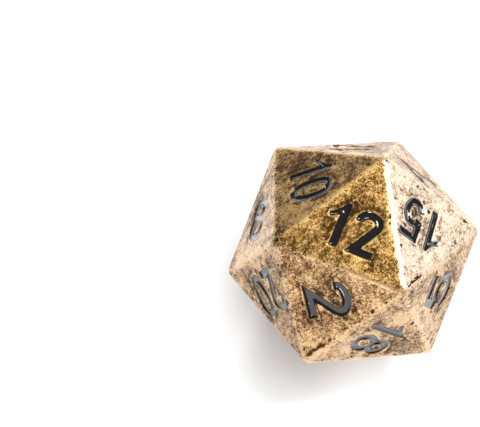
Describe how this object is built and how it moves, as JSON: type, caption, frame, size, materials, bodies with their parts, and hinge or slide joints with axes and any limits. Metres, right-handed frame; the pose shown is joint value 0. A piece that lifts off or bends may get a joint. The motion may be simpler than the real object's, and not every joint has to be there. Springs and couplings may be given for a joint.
{
  "type": "twenty-sided die",
  "caption": "Cast metal icosahedral gaming die in antique brass, with rounded edges and recessed numerals filled with glossy black enamel.",
  "frame": {"origin": "the middle of the face that the die stands on, which is the face numbered 9", "axes": "+Z runs from the 9 on the table to the 12 on top. -Y is the front, where the edge between the 5 and the 18 faces the viewer, and the longest extent lies along Y. +X is to the viewer's right."},
  "size_m": [0.0212, 0.0242, 0.02],
  "materials": {
    "die_metal": "antique brass plating over a zinc casting: dark mottled patina in the faces, rubbed bright along the edges",
    "enamel": "glossy black enamel, set a little below the metal"
  },
  "bodies": {
    "root": {"die_body": "die_metal", "enamel_10_tens": "enamel", "enamel_10_units": "enamel", "enamel_11_tens": "enamel", "enamel_11_units": "enamel", "enamel_12_tens": "enamel", "enamel_12_units": "enamel", "enamel_13_tens": "enamel", "enamel_13_units": "enamel", "enamel_14_tens": "enamel", "enamel_14_units": "enamel", "enamel_15_tens": "enamel", "enamel_15_units": "enamel", "enamel_16_tens": "enamel", "enamel_16_units": "enamel", "enamel_17_tens": "enamel", "enamel_17_units": "enamel", "enamel_18_tens": "enamel", "enamel_18_units": "enamel", "enamel_19_tens": "enamel", "enamel_19_units": "enamel", "enamel_1_digit": "enamel", "enamel_20_tens": "enamel", "enamel_20_units": "enamel", "enamel_2_digit": "enamel", "enamel_3_digit": "enamel", "enamel_4_digit": "enamel", "enamel_5_digit": "enamel", "enamel_6_digit": "enamel", "enamel_6_mark": "enamel", "enamel_7_digit": "enamel", "enamel_8_digit": "enamel", "enamel_9_digit": "enamel", "enamel_9_mark": "enamel"}
  },
  "joints": []
}
